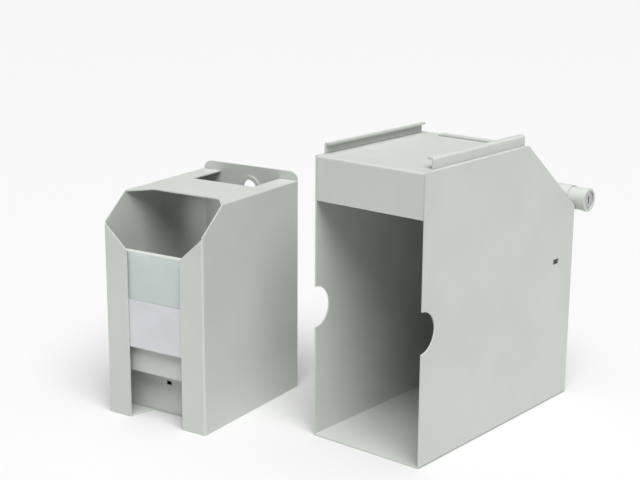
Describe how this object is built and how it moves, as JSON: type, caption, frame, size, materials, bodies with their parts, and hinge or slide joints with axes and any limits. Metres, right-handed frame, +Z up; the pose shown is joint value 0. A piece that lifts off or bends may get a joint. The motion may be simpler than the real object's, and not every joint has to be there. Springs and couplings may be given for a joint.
{
  "type": "under-counter banknote safe",
  "caption": "Under-counter banknote safe: a sheet-steel housing with hanging rails and a key lock at the back, and the slotted note cassette that slides into it.",
  "frame": {"origin": "middle of the housing's underside", "axes": "+X to the right seen from the mouth, +Y from the mouth to the rear wall, +Z up"},
  "size_m": [0.291, 0.3091, 0.2365],
  "materials": {
    "painted_steel": "fine-textured light grey powder coat",
    "plain_steel": "zinc-plated steel",
    "spring_steel": "drawn spring wire",
    "brass": "machined brass",
    "milky_plastic": "milky translucent plastic",
    "white_plastic": "opaque off-white plastic",
    "grey_plastic": "moulded grey plastic"
  },
  "bodies": {
    "housing": {"housing_body": "painted_steel", "housing_top": "painted_steel", "housing_back": "painted_steel", "left_rail": "painted_steel", "right_rail": "painted_steel", "lock_tube": "painted_steel", "tube_sleeve": "painted_steel", "lock_collar": "painted_steel", "left_tube_gusset": "painted_steel", "right_tube_gusset": "painted_steel", "spindle_bush": "grey_plastic", "bolt_guide": "plain_steel", "bolt_spring": "spring_steel"},
    "key_plug": {"key_plug": "plain_steel", "lock_spindle": "plain_steel", "lock_cam": "brass"},
    "lock_bolt": {"lock_bolt": "plain_steel"},
    "cassette": {"cassette_shell": "painted_steel", "cassette_top": "painted_steel", "cassette_base": "painted_steel", "note_shelf": "painted_steel", "note_window": "milky_plastic", "window_band": "white_plastic", "keeper_ring": "painted_steel", "left_guide_rod": "plain_steel", "right_guide_rod": "plain_steel", "note_spring": "spring_steel", "window_stud_1": "plain_steel", "window_stud_2": "plain_steel", "window_stud_3": "plain_steel", "window_stud_4": "plain_steel", "window_nut_1": "plain_steel", "window_nut_2": "plain_steel", "window_nut_3": "plain_steel", "window_nut_4": "plain_steel"},
    "note_plate": {"note_plate": "painted_steel", "carriage": "grey_plastic", "plate_screw_1": "plain_steel", "plate_screw_2": "plain_steel"}
  },
  "joints": [
    {"name": "cassette_slide", "type": "slide", "parent": "housing", "child": "cassette", "axis": [-0.1331, 0.9911, 0], "range_m": [-0.19, 0]},
    {"name": "note_plate_slide", "type": "slide", "parent": "cassette", "child": "note_plate", "axis": [-0.1331, 0.9911, 0], "range_m": [0, 0.074], "stiffness_N_per_m": 25, "springref_m": -0.02, "deforming": ["note_spring"]},
    {"name": "key_turn", "type": "hinge", "parent": "housing", "child": "key_plug", "pos_m": [0, 0.11882, 0.1705], "axis": [1, 0, 0], "range_deg": [0, 90]},
    {"name": "bolt_slide", "type": "slide", "parent": "housing", "child": "lock_bolt", "axis": [0, -1, 0], "range_m": [0, 0.0039], "stiffness_N_per_m": 300, "springref_m": -0.001, "deforming": ["bolt_spring"]}
  ],
  "couplings": [
    {"joint": "key_turn", "follows": "bolt_slide", "rad_per_m": 402.76}
  ]
}
